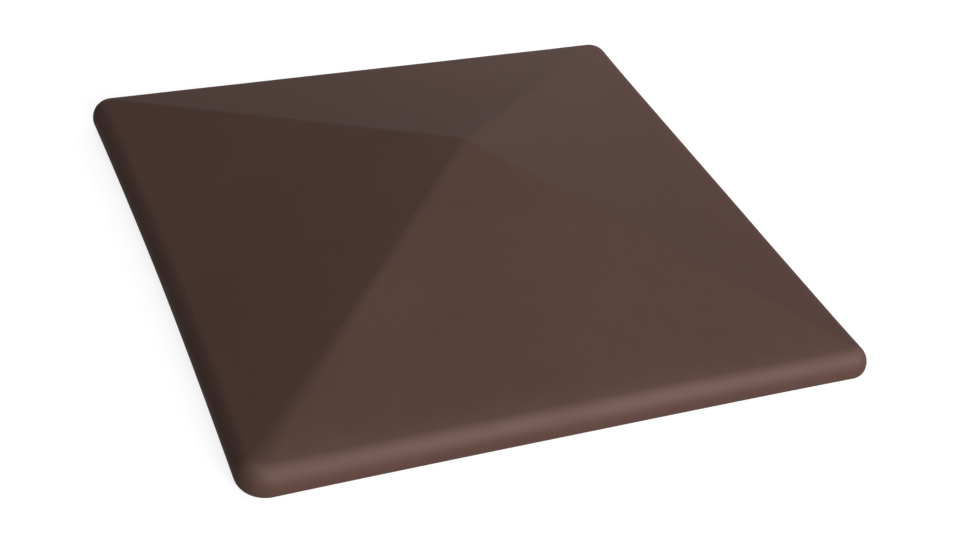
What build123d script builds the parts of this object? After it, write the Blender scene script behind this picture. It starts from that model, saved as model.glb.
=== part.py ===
from build123d import *

import os
from math import atan, cos, radians, tan

# Pyramid cap for a square brick pillar: one piece of fired clay with a rolled rim, soft hips and a
# hollow underside. Millimetres, Z up, origin at the centre of the bed that rests on the pillar.

# Outside
cap_width = 445.0  # side of the square plan, over the rolled rim
cap_height = 90.0  # bed to crown
roll_radius = 15.0  # the ball that rounds the rim, the corners, the hips and the crown
roll_line = 10.0  # height of the rim's widest line above the bed
lip_radius = 9.0  # rounding from the rim under to the bed

# Hollow in the underside
hollow_width = 280.0  # mouth of the hollow at the bed
hollow_radius = 12.0  # rounding of the hollow's corners, hips and crown
hollow_draft = 8.0  # lean of its side walls in degrees, so that the clay leaves the press
mouth_radius = 3.0  # softened edge between the hollow and the bed
wall = 30.0  # clay between the slopes and the hollow's roof

# Drip groove in the overhang
pillar_width = 380.0  # one and a half bricks
groove_radius = 4.5  # half-round section
groove_bend = 12.0  # bend of the groove's centre line at the corners

# Values that follow from these
core_width = cap_width - 2 * roll_radius
core_apex = cap_height - roll_radius
slope = atan((core_apex - roll_line) / (core_width / 2))
overhang_middle = (pillar_width / 2 + cap_width / 2 - lip_radius) / 2


def tent(foot_width, eaves_width, eaves, foot, apex):
    """A sharp square tent: four walls from the foot up to the eaves, then four slopes to the apex."""
    foot_square = Plane.XY.offset(foot) * Rectangle(foot_width, foot_width)
    eaves_square = Plane.XY.offset(eaves) * Rectangle(eaves_width, eaves_width)
    walls = loft([foot_square, eaves_square], ruled=True)
    return walls + loft([eaves_square, Vertex(0, 0, apex)])


def rolled(core, radius):
    """The core grown by a rolling ball, so that every edge and point is round, and cut off at the bed."""
    return split(offset(core, amount=radius, kind=Kind.ARC), bisect_by=Plane.XY, keep=Keep.TOP)


def bed(solid):
    """The flat face on the bed plane."""
    return solid.faces().sort_by(Axis.Z)[0]


def outside():
    """The solid cap: slopes, hips and crown on a rim that rolls over and under to the bed."""
    core = tent(core_width, core_width, roll_line, -2 * roll_radius, core_apex)
    blank = rolled(core, roll_radius)
    return fillet(bed(blank).outer_wire().edges(), lip_radius)


def hollow():
    """The space under the cap, with its roof parallel to the slopes at one wall thickness."""
    lean = tan(radians(hollow_draft))
    apex = core_apex - (wall + hollow_radius - roll_radius) / cos(slope)
    half_mouth = hollow_width / 2 - hollow_radius / cos(radians(hollow_draft))
    eaves = (apex - half_mouth * tan(slope)) / (1 - lean * tan(slope))
    foot = -2 * hollow_radius
    core = tent(2 * (half_mouth - foot * lean), 2 * (half_mouth - eaves * lean), eaves, foot, apex)
    return rolled(core, hollow_radius)


def drip_groove():
    """A round bar bent to a square that sinks half its section into the overhang."""
    path = RectangleRounded(2 * overhang_middle, 2 * overhang_middle, groove_bend).wire()
    section = Plane(path @ 0, z_dir=path % 0) * Circle(groove_radius)
    return sweep(section, path=path)


cap = outside() - hollow()
cap = fillet(bed(cap).inner_wires().edges(), mouth_radius)
cap -= drip_groove()

os.makedirs("parts", exist_ok=True)
export_step(cap, "parts/pillar_cap.step")
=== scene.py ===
"""The looks of a brick pillar's cap: its fired-clay skin, the studio and the camera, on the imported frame."""

import logging
import math
from dataclasses import dataclass, field
from enum import Enum, IntEnum
from typing import Any, Optional, Union

import bpy
import numpy as np
from mathutils import Matrix, Vector


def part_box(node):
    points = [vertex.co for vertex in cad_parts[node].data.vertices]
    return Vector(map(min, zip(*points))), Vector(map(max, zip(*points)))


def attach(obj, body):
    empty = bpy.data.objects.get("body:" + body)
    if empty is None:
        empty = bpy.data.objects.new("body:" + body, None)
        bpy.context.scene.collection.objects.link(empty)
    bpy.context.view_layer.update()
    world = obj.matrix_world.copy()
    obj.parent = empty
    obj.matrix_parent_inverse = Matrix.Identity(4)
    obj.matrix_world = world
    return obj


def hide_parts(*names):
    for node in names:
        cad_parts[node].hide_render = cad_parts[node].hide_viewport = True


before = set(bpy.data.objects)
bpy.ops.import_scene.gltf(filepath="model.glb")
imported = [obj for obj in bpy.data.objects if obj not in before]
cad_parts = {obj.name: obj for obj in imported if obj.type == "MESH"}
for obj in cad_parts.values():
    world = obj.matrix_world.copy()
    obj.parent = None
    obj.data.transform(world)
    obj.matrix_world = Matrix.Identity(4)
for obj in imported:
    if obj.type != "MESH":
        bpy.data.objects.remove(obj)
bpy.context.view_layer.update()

LOG = logging.getLogger("pillar_cap")
MM = 0.001
QUARTER = math.pi / 2
MERGE_CELL = 0.001 * MM
SMALLEST_ANGLE = 1e-6
CAP_NODE = "pillar_cap"
CAP_BODY = "root"

Colour = tuple[float, float, float]
Span = tuple[float, float]
Socket = bpy.types.NodeSocket
Source = Union[bpy.types.NodeSocket, Colour, float]
Owner = Union[bpy.types.Material, bpy.types.World]
Run = Union[np.ndarray, float]


class Side(IntEnum):
    """The cap's sides, in the order that a ring goes round it."""

    RIGHT = 0
    BACK = 1
    LEFT = 2
    FRONT = 3


class Corner(IntEnum):
    """The cap's corners, each numbered as the side that a ring comes to it from."""

    BACK_RIGHT = 0
    BACK_LEFT = 1
    FRONT_LEFT = 2
    FRONT_RIGHT = 3


class Column(IntEnum):
    """Columns of a table of stations, the places along the cap's section that a ring is drawn through."""

    HALF = 0
    RISE = 1
    PLAN = 2
    BALL = 3
    TILT = 4
    BARE = 5
    # Share of the painted highlight over the rim.
    WORN = 6
    GROW = 7


class Operation(Enum):
    """What a math node does with its two values."""

    ADD = "ADD"
    SUBTRACT = "SUBTRACT"
    MULTIPLY = "MULTIPLY"
    MAXIMUM = "MAXIMUM"


@dataclass(frozen=True)
class Noise:
    """A fractal noise: waves in a metre, octaves, and each octave's strength against the one before."""

    waves: float
    octaves: float
    falloff: float


@dataclass
class NodeBoard:
    """Adds and joins shader nodes in one tree."""

    tree: bpy.types.NodeTree

    @classmethod
    def clear(cls, owner: Owner) -> "NodeBoard":
        """Turns on an owner's nodes and clears them.

        Args:
            owner: The material or world.

        Returns:
            A board on its empty tree.
        """
        owner.use_nodes = True
        owner.node_tree.nodes.clear()
        return cls(owner.node_tree)

    def add(self, kind: str, **settings: Any) -> bpy.types.Node:
        """Adds a node and sets its plain settings.

        Args:
            kind: Blender's name for the node's type.
            **settings: Attributes to set on it.

        Returns:
            The new node.
        """
        node = self.tree.nodes.new(kind)
        for name, value in settings.items():
            setattr(node, name, value)
        return node

    def join(self, source: Source, target: Socket) -> None:
        """Links an output to an input, or writes a plain number or colour there.

        Args:
            source: An output, a colour or a number.
            target: The input that takes it.
        """
        if isinstance(source, bpy.types.NodeSocket):
            self.tree.links.new(source, target)
        elif isinstance(source, tuple):
            target.default_value = (*source, 1.0)
        else:
            target.default_value = source

    def noise(self, place: Socket, noise: Noise) -> Socket:
        """Fractal noise on a place.

        Args:
            place: Coordinate output to read.
            noise: How fine and how rough it is.

        Returns:
            The noise's value output, about 0.5 on average.
        """
        node = self.add("ShaderNodeTexNoise")
        self.join(place, node.inputs["Vector"])
        node.inputs["Scale"].default_value = noise.waves
        node.inputs["Detail"].default_value = noise.octaves
        node.inputs["Roughness"].default_value = noise.falloff
        return node.outputs["Fac"]

    def math(self, operation: Operation, first: Source, second: Source) -> Socket:
        """One operation on two values.

        Args:
            operation: What is done with them.
            first: The first value.
            second: The second value.

        Returns:
            The result's output.
        """
        node = self.add("ShaderNodeMath", operation=operation.value)
        self.join(first, node.inputs[0])
        self.join(second, node.inputs[1])
        return node.outputs["Value"]

    def span(self, value: Socket, source: Span, target: Span = (0.0, 1.0)) -> Socket:
        """Maps a value from one range to another, clamped and eased at both ends.

        Args:
            value: The output to map.
            source: The range that it is read over, which may run downwards.
            target: The range that it is mapped to.

        Returns:
            The mapped output.
        """
        node = self.add("ShaderNodeMapRange", interpolation_type="SMOOTHSTEP", clamp=True)
        self.join(value, node.inputs["Value"])
        node.inputs["From Min"].default_value, node.inputs["From Max"].default_value = source
        node.inputs["To Min"].default_value, node.inputs["To Max"].default_value = target
        return node.outputs["Result"]

    def weigh(self, first: Source, second: Source, share: float) -> Socket:
        """The mean of two values by weight.

        Args:
            first: The first value.
            second: The second value.
            share: The second value's weight, from 0 to 1.

        Returns:
            First times what is left of the weight, plus second times its share.
        """
        kept = self.math(Operation.MULTIPLY, first, 1.0 - share)
        return self.math(Operation.ADD, kept, self.math(Operation.MULTIPLY, second, share))

    def blend(self, share: Source, first: Source, second: Source) -> Socket:
        """Mixes two colours.

        Args:
            share: 0 for the first colour, 1 for the second.
            first: The first colour.
            second: The second colour.

        Returns:
            The mixed colour's output.
        """
        node = self.add("ShaderNodeMix", data_type="RGBA")
        colours = [socket for socket in node.inputs if socket.type == "RGBA"]
        self.join(share, node.inputs[0])
        self.join(first, colours[0])
        self.join(second, colours[1])
        return next(socket for socket in node.outputs if socket.type == "RGBA")

    def bump(self, height: Socket, distance: float, strength: float,
             below: Optional[Socket] = None) -> Socket:
        """A bump from a height in 0..1.

        Args:
            height: Value output read as height.
            distance: Real height of a full step, in metres.
            strength: Share of it that shows.
            below: Normal output of a bump under this one.

        Returns:
            The bumped normal output.
        """
        node = self.add("ShaderNodeBump")
        node.inputs["Strength"].default_value = strength
        node.inputs["Distance"].default_value = distance
        self.join(height, node.inputs["Height"])
        if below is not None:
            self.join(below, node.inputs["Normal"])
        return node.outputs["Normal"]

    def shown(self) -> Socket:
        """Picks out the rays that show a backdrop: those from the camera, from gloss and through glass.

        Returns:
            An output that is 1 on those rays and 0 on all others.
        """
        ray = self.add("ShaderNodeLightPath").outputs
        through = self.math(Operation.MAXIMUM, ray["Is Glossy Ray"], ray["Is Transmission Ray"])
        return self.math(Operation.MAXIMUM, ray["Is Camera Ray"], through)


@dataclass(frozen=True)
class ClaySkin:
    """Fired clay: a smooth brown skin outside with a painted highlight over the rim, and dull bare clay
    underneath.

    The brown drifts slowly over the cap, with finer mottling and faint dark specks in it. A fine grain and
    a slight press ripple roughen it as bump. The bare clay is paler and has a coarser grain.
    """

    name: str = "fired_clay_skin"
    dark: Colour = (0.0885, 0.0466, 0.0372)
    light: Colour = (0.1015, 0.0539, 0.0432)
    speck: Colour = (0.0820, 0.0432, 0.0346)
    # Colour of the painted highlight over the rim's shoulder.
    painted_highlight: Colour = (0.1480, 0.0890, 0.0750)
    bare: Colour = (0.1200, 0.0660, 0.0480)
    bare_dust: Colour = (0.1650, 0.1000, 0.0760)
    roughness: Span = (0.71, 0.79)
    bare_roughness: Span = (0.86, 0.93)
    index: float = 1.2
    drift: Noise = Noise(waves=7.0, octaves=2.0, falloff=0.5)
    mottle: Noise = Noise(waves=85.0, octaves=3.0, falloff=0.6)
    grain: Noise = Noise(waves=1100.0, octaves=2.0, falloff=0.5)
    pits: Noise = Noise(waves=420.0, octaves=4.0, falloff=0.65)
    ripple: Noise = Noise(waves=45.0, octaves=1.0, falloff=0.5)
    uneven: Noise = Noise(waves=26.0, octaves=2.0, falloff=0.5)
    mottle_share: float = 0.35
    grain_share: float = 0.18
    tone_range: Span = (0.36, 0.64)
    speck_waves: float = 160.0
    speck_chance: Span = (0.90, 0.92)
    speck_fade: Span = (0.165, 0.075)
    # How a slow noise breaks up the painted highlight along the rim.
    highlight_range: Span = (0.30, 0.70)
    highlight_cover: Span = (0.78, 1.00)
    bare_range: Span = (0.35, 0.68)
    powder_share: float = 0.5
    sheen_share: float = 0.5
    ripple_height: float = 0.10 * MM
    grain_height: float = 0.035 * MM
    skin_relief: float = 0.35
    pit_height: float = 0.5 * MM
    pit_relief: float = 0.8

    def brown(self, board: NodeBoard, place: Socket, drift: Socket, mottle: Socket,
              grain: Socket) -> Socket:
        """The skin's colour.

        The three noises are weighed into one tone between the dark and the light brown. A speck is the
        middle of a cell in a scatter of cells, in the few cells that chance picks.

        Args:
            board: The material's board.
            place: Object coordinates.
            drift: The slow noise.
            mottle: The middling noise.
            grain: The fine noise.

        Returns:
            The colour's output.
        """
        tone = board.weigh(board.weigh(drift, mottle, self.mottle_share), grain, self.grain_share)
        brown = board.blend(board.span(tone, self.tone_range), self.dark, self.light)
        cells = board.add("ShaderNodeTexVoronoi", feature="F1")
        board.join(place, cells.inputs["Vector"])
        cells.inputs["Scale"].default_value = self.speck_waves
        chance = board.add("ShaderNodeSeparateColor")
        board.join(cells.outputs["Color"], chance.inputs["Color"])
        picked = board.span(chance.outputs["Red"], self.speck_chance)
        spot = board.span(cells.outputs["Distance"], self.speck_fade)
        return board.blend(board.math(Operation.MULTIPLY, picked, spot), brown, self.speck)

    def paint_highlight(self, board: NodeBoard, place: Socket, brown: Socket) -> Socket:
        """Paints a paler highlight into the skin's colour where the piece's attribute marks the rim's
        shoulder.

        Args:
            board: The material's board.
            place: Object coordinates.
            brown: The skin's colour.

        Returns:
            The colour's output, uneven along the rim by a slow noise.
        """
        painted_highlight = board.add("ShaderNodeAttribute", attribute_name="painted_highlight").outputs["Fac"]
        uneven = board.noise(place, self.uneven)
        cover = board.math(Operation.MULTIPLY, painted_highlight, board.span(uneven, self.highlight_range, self.highlight_cover))
        return board.blend(cover, brown, self.painted_highlight)

    def material(self) -> bpy.types.Material:
        """Builds the node material.

        Returns:
            The material, on object coordinates and the piece's own rim-highlight and bare attributes.
        """
        material = bpy.data.materials.new(self.name)
        board = NodeBoard.clear(material)
        place = board.add("ShaderNodeTexCoord").outputs["Object"]
        bare = board.add("ShaderNodeAttribute", attribute_name="bare").outputs["Fac"]
        drift = board.noise(place, self.drift)
        mottle = board.noise(place, self.mottle)
        grain = board.noise(place, self.grain)
        pits = board.noise(place, self.pits)

        # The brown, with a painted highlight over the rim.
        brown = self.paint_highlight(board, place, self.brown(board, place, drift, mottle, grain))
        powder = board.span(board.weigh(pits, mottle, self.powder_share), self.bare_range)
        dust = board.blend(powder, self.bare, self.bare_dust)
        sheen = board.weigh(mottle, drift, self.sheen_share)
        skin_rough = board.span(sheen, self.tone_range, self.roughness)
        bare_rough = board.span(pits, self.bare_range, self.bare_roughness)
        kept = board.math(Operation.SUBTRACT, 1.0, bare)
        skin_part = board.math(Operation.MULTIPLY, skin_rough, kept)
        bare_part = board.math(Operation.MULTIPLY, bare_rough, bare)

        relief = board.bump(board.noise(place, self.ripple), self.ripple_height, self.skin_relief)
        relief = board.bump(grain, self.grain_height, self.skin_relief, relief)
        bare_pits = board.math(Operation.MULTIPLY, pits, bare)
        relief = board.bump(bare_pits, self.pit_height, self.pit_relief, relief)

        shader = board.add("ShaderNodeBsdfPrincipled")
        shader.inputs["IOR"].default_value = self.index
        board.join(board.blend(bare, brown, dust), shader.inputs["Base Color"])
        board.join(board.math(Operation.ADD, skin_part, bare_part), shader.inputs["Roughness"])
        board.join(relief, shader.inputs["Normal"])
        board.join(shader.outputs["BSDF"], board.add("ShaderNodeOutputMaterial").inputs["Surface"])
        return material


@dataclass(frozen=True)
class FloorSheet:
    """A pale paper floor that shows as white, with a soft shadow on it.

    To the camera, to gloss and to glass the paper glows, and its own lit colour is only a share of what
    they see. To all other light it is plain paper.
    """

    name: str = "floor_paper"
    colour: Colour = (0.35, 0.35, 0.35)
    shade: Colour = (0.30, 0.30, 0.30)
    glow: float = 0.84

    def material(self) -> bpy.types.Material:
        """Builds the paper as a matt colour plus a glow.

        Returns:
            The material.
        """
        material = bpy.data.materials.new(self.name)
        board = NodeBoard.clear(material)
        shown = board.shown()
        paper = board.add("ShaderNodeBsdfDiffuse")
        board.join(board.blend(shown, self.colour, self.shade), paper.inputs["Color"])
        light = board.add("ShaderNodeEmission")
        board.join(board.math(Operation.MULTIPLY, shown, self.glow), light.inputs["Strength"])
        both = board.add("ShaderNodeAddShader")
        board.join(paper.outputs["BSDF"], both.inputs[0])
        board.join(light.outputs["Emission"], both.inputs[1])
        board.join(both.outputs["Shader"], board.add("ShaderNodeOutputMaterial").inputs["Surface"])
        return material


@dataclass(frozen=True)
class Surround:
    """The world round the studio: a dim even light."""

    name: str = "studio"
    colour: Colour = (0.07, 0.07, 0.07)

    def hang(self) -> bpy.types.World:
        """Builds the world and hands it to the scene.

        Returns:
            The world.
        """
        world = bpy.data.worlds.new(self.name)
        board = NodeBoard.clear(world)
        plain = board.add("ShaderNodeBackground")
        board.join(self.colour, plain.inputs["Color"])
        board.join(plain.outputs["Background"], board.add("ShaderNodeOutputWorld").inputs["Surface"])
        bpy.context.scene.world = world
        return world


@dataclass(frozen=True)
class Bow:
    """How the kiln draws a side in between its corners: its depth, and how squarely it holds that depth."""

    depth: float
    power: float


@dataclass(frozen=True)
class Swell:
    """A slow wave over the cap's plan: radians for each cap's width both ways, and its starting phase."""

    across: float
    along: float
    phase: float

    def at(self, x: np.ndarray, y: np.ndarray) -> np.ndarray:
        """The sine of the phase at places x and y, given in cap's widths."""
        return np.sin(self.across * x + self.along * y + self.phase)


def stations(half: Run, rise: Run, plan: Run, ball: Run, tilt: Run, bare: Run = 0.0, painted_highlight: Run = 0.0,
             grow: Run = 0.0) -> np.ndarray:
    """Lays equal-length runs of values, or single values, side by side as a table of stations.

    Args:
        half: Half the side of the sharp square that the ring follows, in metres.
        rise: Height of that square above the bed.
        plan: Flat radius added round the square, level with it.
        ball: Radius of the ball rolled along the square's edge.
        tilt: Angle above level at which the ball touches the surface.
        bare: 0 where the clay has its smooth fired skin, 1 where it is bare.
        painted_highlight: Share of the painted highlight over the rim, up to 1.
        grow: Share of each corner's own extra radius that the ring takes.

    Returns:
        One row for each station, with the columns of Column.
    """
    runs = np.broadcast_arrays(*np.atleast_1d(half, rise, plan, ball, tilt, bare, painted_highlight, grow))
    return np.stack(runs, axis=1).astype(float)


def closed_rings(name: str, points: np.ndarray, marks: dict[str, np.ndarray]) -> bpy.types.Mesh:
    """Makes a mesh of rings that closes round each ring, and at an end where a ring is a single place.

    Neighbouring rings are joined by quads. Points that fall together, as at the two crowns, are merged,
    and a quad that loses one corner becomes a triangle.

    Args:
        name: The mesh's name.
        points: Points by ring and column.
        marks: Values by ring and column, for each attribute that the mesh carries.

    Returns:
        The mesh.
    """
    rings, columns = points.shape[:2]
    flat = points.reshape(-1, 3)
    cells = np.round(flat / MERGE_CELL)
    _, keep, merged = np.unique(cells, axis=0, return_index=True, return_inverse=True)
    grid = merged.reshape(rings, columns)
    beside = np.roll(grid, -1, axis=1)
    quads = np.stack([grid[:-1], grid[1:], beside[1:], beside[:-1]], axis=-1).reshape(-1, 4)
    same = quads == np.roll(quads, -1, axis=1)
    whole = quads[same.sum(axis=1) == 0]
    clipped = same.sum(axis=1) == 1
    triangles = quads[clipped][~same[clipped]].reshape(-1, 3)
    mesh = bpy.data.meshes.new(name)
    mesh.from_pydata(flat[keep].tolist(), [], whole.tolist() + triangles.tolist())
    for mark, values in marks.items():
        spread = np.broadcast_to(values, (rings, columns)).reshape(-1)[keep].astype(np.float32)
        mesh.attributes.new(mark, "FLOAT", "POINT").data.foreach_set("value", spread)
    mesh.update()
    return mesh


@dataclass
class PillarCap:
    """The cap: a section of stations carried round a square, then drawn in a little as by firing.

    The counts named rings are the stations along each stretch of the section, both ends included.
    """

    width: float
    height: float
    roll_radius: float = 15.0 * MM
    roll_line: float = 10.0 * MM
    lip_radius: float = 9.0 * MM
    hollow_width: float = 280.0 * MM
    hollow_radius: float = 12.0 * MM
    hollow_draft: float = math.radians(8.0)
    mouth_radius: float = 3.0 * MM
    wall: float = 30.0 * MM
    pillar_width: float = 380.0 * MM
    groove_radius: float = 4.5 * MM
    groove_bend: float = 12.0 * MM
    corner_radii: dict[Corner, float] = field(default_factory=lambda: {
        Corner.BACK_RIGHT: 16.8 * MM,
        Corner.BACK_LEFT: 15.8 * MM,
        Corner.FRONT_LEFT: 20.7 * MM,
        Corner.FRONT_RIGHT: 13.0 * MM,
    })
    corner_fade: float = 3.0
    bows: dict[Side, Bow] = field(default_factory=lambda: {
        Side.RIGHT: Bow(depth=1.33 * MM, power=7.0),
        Side.BACK: Bow(depth=0.38 * MM, power=3.0),
        Side.LEFT: Bow(depth=3.08 * MM, power=1.75),
        Side.FRONT: Bow(depth=1.05 * MM, power=3.3),
    })
    bow_fade: int = 3
    # Painted highlight by side: strongest on the front where the lamps light the rim, weaker right and back,
    # weakest on the shaded left.
    highlight_by_side: dict[Side, float] = field(default_factory=lambda: {
        Side.RIGHT: 0.5,
        Side.BACK: 0.5,
        Side.LEFT: 0.2,
        Side.FRONT: 1.0,
    })
    highlight_middle: float = 0.38
    highlight_width: float = 0.56
    highlight_fade: float = 0.1
    sag: float = 0.3 * MM
    sag_fade: float = 3.0
    broad_swells: tuple[Swell, Swell] = (Swell(17.0, 5.0, 0.6), Swell(-6.0, 19.0, 2.1))
    fine_swell: Swell = Swell(31.0, -23.0, 1.3)
    fine_share: float = 0.6
    side_columns: int = 96
    corner_columns: int = 15
    crown_rings: int = 6
    slope_rings: int = 44
    slope_crowding: float = 1.3
    roll_rings: int = 18
    lip_rings: int = 12
    groove_rings: int = 13
    bed_rings: int = 10
    mouth_rings: int = 6
    wall_rings: int = 4
    wall_start: float = 0.35
    cove_rings: int = 10
    roof_rings: int = 28
    hollow_crown_rings: int = 5
    skin: ClaySkin = field(default_factory=ClaySkin)

    @property
    def core(self) -> float:
        """Half the side of the sharp core that the ball rolls round."""
        return self.width / 2 - self.roll_radius

    @property
    def apex(self) -> float:
        """Height of the core's point."""
        return self.height - self.roll_radius

    @property
    def slope(self) -> float:
        """Angle of the four slopes above level."""
        return math.atan2(self.apex - self.roll_line, self.core)

    @property
    def face(self) -> float:
        """Angle above level at which the ball touches a slope."""
        return QUARTER - self.slope

    def outside(self) -> np.ndarray:
        """The section from the crown over the rim to the bed.

        Each stretch follows the sharp core: the ball turns about the core's point, runs down a slope, turns
        about the eaves, and a smaller round then leads under to the bed. The stations on the slope crowd
        towards the eaves by a power. A highlight is painted over the rim's shoulder, by the squared cosine of
        the turn from there, and that fades out by a square on the slope above. The lower half of the lip fades
        to bare clay.

        Returns:
            A table of stations.
        """
        ball = self.roll_radius
        crown_tilt = np.linspace(QUARTER, self.face, self.crown_rings)[:-1]
        crown = stations(0.0, self.apex, 0.0, ball, crown_tilt)

        turn = np.linspace(0.0, 1.0, self.roll_rings)
        # Painted highlight over the rim's shoulder, peaking part-way round the roll.
        painted_highlight = np.cos(QUARTER * np.clip((turn - self.highlight_middle) / self.highlight_width, -1.0, 1.0)) ** 2
        down = 1.0 - np.linspace(1.0, 0.0, self.slope_rings) ** self.slope_crowding
        rise = self.apex + down * (self.roll_line - self.apex)
        # The painted highlight fades onto the slope above the rim.
        faded = painted_highlight[0] * np.clip(1.0 - (1.0 - down) / self.highlight_fade, 0.0, 1.0) ** 2
        grow = down ** self.corner_fade
        slopes = stations(down * self.core, rise, 0.0, ball, self.face, painted_highlight=faded, grow=grow)

        tilt = self.face * (1.0 - turn)
        roll = stations(self.core, self.roll_line, 0.0, ball, tilt, painted_highlight=painted_highlight, grow=1.0)[1:]

        under = np.linspace(0.0, 1.0, self.lip_rings)
        bare = np.clip(2.0 * under - 1.0, 0.0, 1.0)
        small = self.lip_radius
        lip = stations(self.core, small, ball - small, small, -QUARTER * under, bare, grow=1.0)
        return np.concatenate([crown, slopes, roll, lip])

    def groove(self) -> np.ndarray:
        """The drip groove's section, half a circle midway under the overhang.

        Returns:
            A table of stations, from the groove's outer edge to its inner one.
        """
        middle = (self.pillar_width / 2 + self.width / 2 - self.lip_radius) / 2
        around = np.linspace(0.0, math.pi, self.groove_rings)
        rise = self.groove_radius * np.sin(around)
        plan = self.groove_bend + self.groove_radius * np.cos(around)
        return stations(middle - self.groove_bend, rise, plan, 0.0, 0.0, bare=1.0)

    def hollow(self) -> np.ndarray:
        """The hollow's section, from its rounded mouth to its crown.

        The walls lean in with the draft, and the roof is parallel to the slopes at one wall thickness, with
        a ball rolled round the hollow's own sharp core.

        Returns:
            A table of stations.
        """
        lean = math.tan(self.hollow_draft)
        rake = math.tan(self.slope)
        ball = self.hollow_radius
        apex = self.apex - (self.wall + ball - self.roll_radius) / math.cos(self.slope)
        mouth = self.hollow_width / 2 - ball / math.cos(self.hollow_draft)
        eaves = (apex - mouth * rake) / (1.0 - lean * rake)
        eaves_half = mouth - eaves * lean

        turn = np.linspace(0.0, QUARTER, self.mouth_rings)
        edge_plan = ball * math.cos(self.hollow_draft) + self.mouth_radius * (1.0 - np.sin(turn))
        edge = stations(mouth, self.mouth_radius * (1.0 - np.cos(turn)), edge_plan, 0.0, 0.0, bare=1.0)

        up = np.linspace(self.wall_start, 1.0, self.wall_rings)
        walls = stations(mouth - up * eaves * lean, up * eaves, 0.0, ball, self.hollow_draft, bare=1.0)

        bend = np.linspace(self.hollow_draft, self.face, self.cove_rings)[1:]
        cove = stations(eaves_half, eaves, 0.0, ball, bend, bare=1.0)

        inward = np.linspace(1.0, 0.0, self.roof_rings)[1:]
        roof_rise = apex + inward * (eaves - apex)
        roof = stations(inward * eaves_half, roof_rise, 0.0, ball, self.face, bare=1.0)

        crown_tilt = np.linspace(self.face, QUARTER, self.hollow_crown_rings)[1:]
        crown = stations(0.0, apex, 0.0, ball, crown_tilt, bare=1.0)
        return np.concatenate([edge, walls, cove, roof, crown])

    def bed(self, groove: np.ndarray, hollow: np.ndarray) -> np.ndarray:
        """The flat bed between the groove and the hollow's mouth, by even steps from edge to edge.

        Args:
            groove: The groove's stations.
            hollow: The hollow's stations.

        Returns:
            A table of stations, without the two edges themselves.
        """
        step = np.linspace(0.0, 1.0, self.bed_rings)[1:-1]
        start, end = groove[-1], hollow[0]
        half = start[Column.HALF] + step * (end[Column.HALF] - start[Column.HALF])
        plan = start[Column.PLAN] + step * (end[Column.PLAN] - start[Column.PLAN])
        return stations(half, 0.0, plan, 0.0, 0.0, bare=1.0)

    def columns(self) -> tuple[np.ndarray, np.ndarray, np.ndarray]:
        """Places round the square, in the order of a ring.

        Returns:
            The side's number, -1 to 1 along that side, and 0 to 1 round the corner after it.
        """
        straight = np.linspace(-1.0, 1.0, self.side_columns)
        turning = np.linspace(0.0, 1.0, self.corner_columns + 2)[1:-1]
        along = np.concatenate([straight, np.ones_like(turning)])
        turn = np.concatenate([np.zeros_like(straight), turning])
        side = np.repeat(np.arange(len(Side)), along.size)
        return side, np.tile(along, len(Side)), np.tile(turn, len(Side))

    def highlight_round(self) -> np.ndarray:
        """Each side's share of the painted highlight, going over evenly into the next side's round the corner
        between them.

        Returns:
            One share for each column.
        """
        side, _, turn = self.columns()
        share = np.array([self.highlight_by_side[number] for number in Side])
        return share[side] * (1.0 - turn) + share[(side + 1) % len(Side)] * turn

    def carry(self, table: np.ndarray) -> np.ndarray:
        """Carries the section round the square.

        A point is a place on the sharp square, plus the flat radius along the level direction outwards,
        plus the ball's radius along the touching direction. Round a corner the level direction turns evenly
        by a quarter, and the corner's own extra radius is added to the flat one, with the square cut back
        by as much. A touching direction that points up swings from one side's to the next's along the
        shortest arc on a sphere, so that hips, corners and crown are true cylinders and spheres.

        Args:
            table: Stations along the section.

        Returns:
            Points, one row of them for each station.
        """
        used = (Column.HALF, Column.RISE, Column.PLAN, Column.BALL, Column.TILT, Column.GROW)
        half, rise, plan, ball, tilt, grow = (table[:, [column]] for column in used)
        side, along, turn = self.columns()
        extra = np.array([self.corner_radii[corner] for corner in Corner]) - self.roll_radius
        ahead = extra[side] * grow
        behind = extra[side - 1] * grow
        cut = np.where(turn > 0.0, ahead, 0.0)
        angle = np.maximum(np.arccos(np.clip(np.sin(tilt) ** 2, -1.0, 1.0)), SMALLEST_ANGLE)
        first = np.sin((1.0 - turn) * angle) / np.sin(angle)
        second = np.sin(turn * angle) / np.sin(angle)
        level = turn * QUARTER
        rolling = tilt > 0.0
        reach = np.cos(tilt) * ball
        out = np.where(rolling, first, np.cos(level)) * reach + (plan + cut) * np.cos(level)
        over = np.where(rolling, second, np.sin(level)) * reach + (plan + cut) * np.sin(level)
        lift = np.where(rolling, first + second, 1.0) * np.sin(tilt) * ball
        x = half - cut + out
        y = half * along - (ahead * (1.0 + along) - behind * (1.0 - along)) / 2 + over
        cos, sin = np.cos(side * QUARTER), np.sin(side * QUARTER)
        return np.stack([cos * x - sin * y, sin * x + cos * y, rise + lift], axis=-1)

    def fire(self, points: np.ndarray) -> np.ndarray:
        """Bends the points as the kiln does.

        Each side is drawn in between its corners by its bow's depth times one minus a power of the place
        along it, fading with the cube of the distance to the middle. The slopes sink by the product of two
        broad swells plus a share of a fine one, by no more than the sag, fading to nothing at the bed.

        Args:
            points: The true points.

        Returns:
            The bent points.
        """
        fired = points.copy()
        across = np.clip(points[..., :2] / (self.width / 2), -1.0, 1.0)
        right, back, left, front = (self.bows[side] for side in Side)
        outer = across > 0.0
        power = np.where(outer, (right.power, back.power), (left.power, front.power))
        depth = np.where(outer, (right.depth, back.depth), (left.depth, front.depth))
        fired[..., :2] -= depth * across ** self.bow_fade * (1.0 - np.abs(across[..., ::-1]) ** power)

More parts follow.
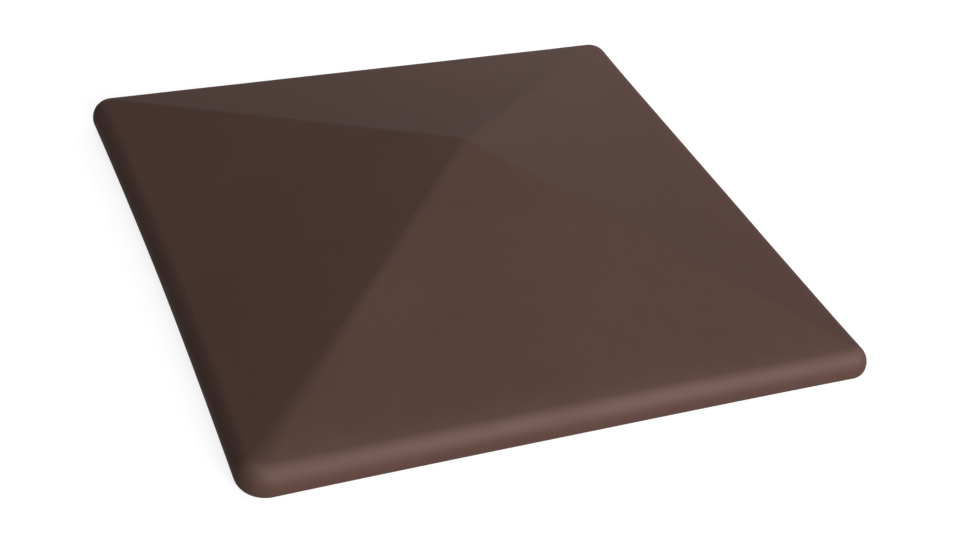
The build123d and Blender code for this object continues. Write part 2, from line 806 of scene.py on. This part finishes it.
        x, y, z = np.moveaxis(points, -1, 0)
        place = (x / self.width, y / self.width)
        broad, cross = self.broad_swells
        wave = broad.at(*place) * cross.at(*place) + self.fine_share * self.fine_swell.at(*place)
        level = 0.5 + 0.5 * wave / (1.0 + self.fine_share)
        fired[..., 2] -= self.sag * level * np.clip(z / (self.sag_fade * self.roll_radius), 0.0, 1.0)
        return fired

    def build(self) -> bpy.types.Object:
        """Makes the whole skin as one closed mesh.

        Returns:
            The object, at the origin, with its bare and rim-highlight attributes.
        """
        groove, hollow = self.groove(), self.hollow()
        table = np.concatenate([self.outside(), groove, self.bed(groove, hollow), hollow])
        points = self.fire(self.carry(table))
        # The painted highlight's share, along the section and by side.
        marks = {"bare": table[:, [Column.BARE]], "painted_highlight": table[:, [Column.WORN]] * self.highlight_round()}
        cap = bpy.data.objects.new("cap_skin", closed_rings("cap_skin", points, marks))
        bpy.context.scene.collection.objects.link(cap)
        return cap

    def dress(self, cap: bpy.types.Object) -> None:
        """Gives the cap its finish and smooth shading, and says what it stands for.

        Args:
            cap: The built object.
        """
        cap.data.materials.append(self.skin.material())
        cap.data.shade_smooth()
        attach(cap, CAP_BODY)
        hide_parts(CAP_NODE)


def direction(azimuth: float, elevation: float) -> Vector:
    """The direction to a place seen from the origin.

    Args:
        azimuth: 0 in front of the cap and 90 to its right, in degrees.
        elevation: Angle above the floor, in degrees.

    Returns:
        A vector of length 1.
    """
    turn, rise = math.radians(azimuth), math.radians(elevation)
    return Vector((math.sin(turn) * math.cos(rise), -math.cos(turn) * math.cos(rise), math.sin(rise)))


@dataclass(frozen=True)
class SoftBox:
    """A square area lamp aimed at the cap, with its place in degrees and metres and its power in watts."""

    name: str
    azimuth: float
    elevation: float
    distance: float
    size: float
    power: float

    def hang(self) -> bpy.types.Object:
        """Hangs the lamp.

        Returns:
            The lamp, turned so that it shines at the middle of the cap.
        """
        lamp = bpy.data.lights.new(self.name, "AREA")
        lamp.size = self.size
        lamp.energy = self.power
        place = direction(self.azimuth, self.elevation) * self.distance
        aim = place.to_track_quat("Z", "Y").to_matrix().to_4x4()
        box = bpy.data.objects.new(self.name, lamp)
        box.visible_camera = False
        box.matrix_world = Matrix.Translation(place) @ aim
        bpy.context.scene.collection.objects.link(box)
        return box


@dataclass(frozen=True)
class Viewpoint:
    """The camera: where it looks from, its roll, and how far its aim lies from the origin in its picture."""

    azimuth: float = -26.330
    elevation: float = 36.569
    roll: float = 7.248
    distance: float = 1219.56 * MM
    aim_right: float = 19.298 * MM
    aim_up: float = -20.684 * MM
    lens: float = 61.968
    sensor: float = 36.0
    clip_start: float = 10.0 * MM

    def set_up(self) -> bpy.types.Object:
        """Makes the camera and hands it to the scene.

        Returns:
            The camera.
        """
        back = direction(self.azimuth, self.elevation)
        level = Vector((0.0, 0.0, 1.0)).cross(back).normalized()
        right = Matrix.Rotation(math.radians(self.roll), 3, back) @ level
        up = back.cross(right)
        place = right * self.aim_right + up * self.aim_up + back * self.distance
        lens = bpy.data.cameras.new("viewpoint")
        lens.sensor_fit = "HORIZONTAL"
        lens.sensor_width = self.sensor
        lens.lens = self.lens
        lens.clip_start = self.clip_start
        camera = bpy.data.objects.new("viewpoint", lens)
        camera.matrix_world = Matrix.Translation(place) @ Matrix((right, up, back)).transposed().to_4x4()
        bpy.context.scene.collection.objects.link(camera)
        bpy.context.scene.camera = camera
        return camera


@dataclass(frozen=True)
class Studio:
    """A pale floor that curves up into a backdrop, a plain surround and soft boxes round the cap."""

    floor_reach: float = 12.0
    floor_inner: float = 1.0
    floor_drop: float = 0.1 * MM
    floor_columns: int = 96
    cove_radius: float = 1.0
    cove_rings: int = 9
    backdrop_height: float = 3.0
    paper: FloorSheet = FloorSheet()
    surround: Surround = Surround()
    boxes: tuple[SoftBox, ...] = (
        SoftBox("box_front", azimuth=2.0, elevation=22.0, distance=2.2, size=1.0, power=43.0),
        SoftBox("box_right", azimuth=45.0, elevation=28.0, distance=2.2, size=1.0, power=11.5),
        SoftBox("box_back", azimuth=184.0, elevation=44.0, distance=2.2, size=1.0, power=10.0),
        SoftBox("lamp_back_right", azimuth=144.0, elevation=32.0, distance=0.9, size=0.4, power=2.5),
    )

    def lay_floor(self) -> bpy.types.Object:
        """Lays the floor just under the bed, as one sheet turned about the upright through the cap.

        Its profile runs out level from the middle, turns up through a quarter circle, and goes straight up.

        Returns:
            The floor.
        """
        turn = np.linspace(0.0, QUARTER, self.cove_rings)
        bend = self.floor_reach - self.cove_radius + self.cove_radius * np.sin(turn)
        climb = self.cove_radius * (1.0 - np.cos(turn))
        reach = np.concatenate([[0.0, self.floor_inner], bend, [self.floor_reach]])
        rise = np.concatenate([[0.0, 0.0], climb, [self.backdrop_height]])
        around = np.linspace(0.0, 2.0 * math.pi, self.floor_columns, endpoint=False)
        x, y = np.outer(reach, np.cos(around)), np.outer(reach, np.sin(around))
        z = np.broadcast_to((rise - self.floor_drop)[:, None], x.shape)
        mesh = closed_rings("floor", np.stack([x, y, z], axis=-1), {})
        mesh.materials.append(self.paper.material())
        floor = bpy.data.objects.new("floor", mesh)
        bpy.context.scene.collection.objects.link(floor)
        return floor

    def set_up(self) -> None:
        """Lays the floor, hangs the surround and each soft box, and reports them."""
        LOG.info("%s laid", self.lay_floor().name)
        LOG.info("%s hung", self.surround.hang().name)
        for box in self.boxes:
            LOG.info("%s hung", box.hang().name)


def main() -> None:
    """Builds the cap, then the studio and the camera, and logs the cap's face count and the camera's place."""
    logging.basicConfig(level=logging.INFO, format="%(name)s: %(message)s")
    low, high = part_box(CAP_NODE)
    cap = PillarCap(width=high.x - low.x, height=high.z - low.z)
    skin = cap.build()
    cap.dress(skin)
    LOG.info("%s has %d faces", skin.name, len(skin.data.polygons))
    Studio().set_up()
    camera = Viewpoint().set_up()
    LOG.info("%s at %.3f, %.3f, %.3f m", camera.name, *camera.matrix_world.translation)
    bpy.context.scene.view_settings.view_transform = "Standard"


if __name__ == "__main__":
    main()
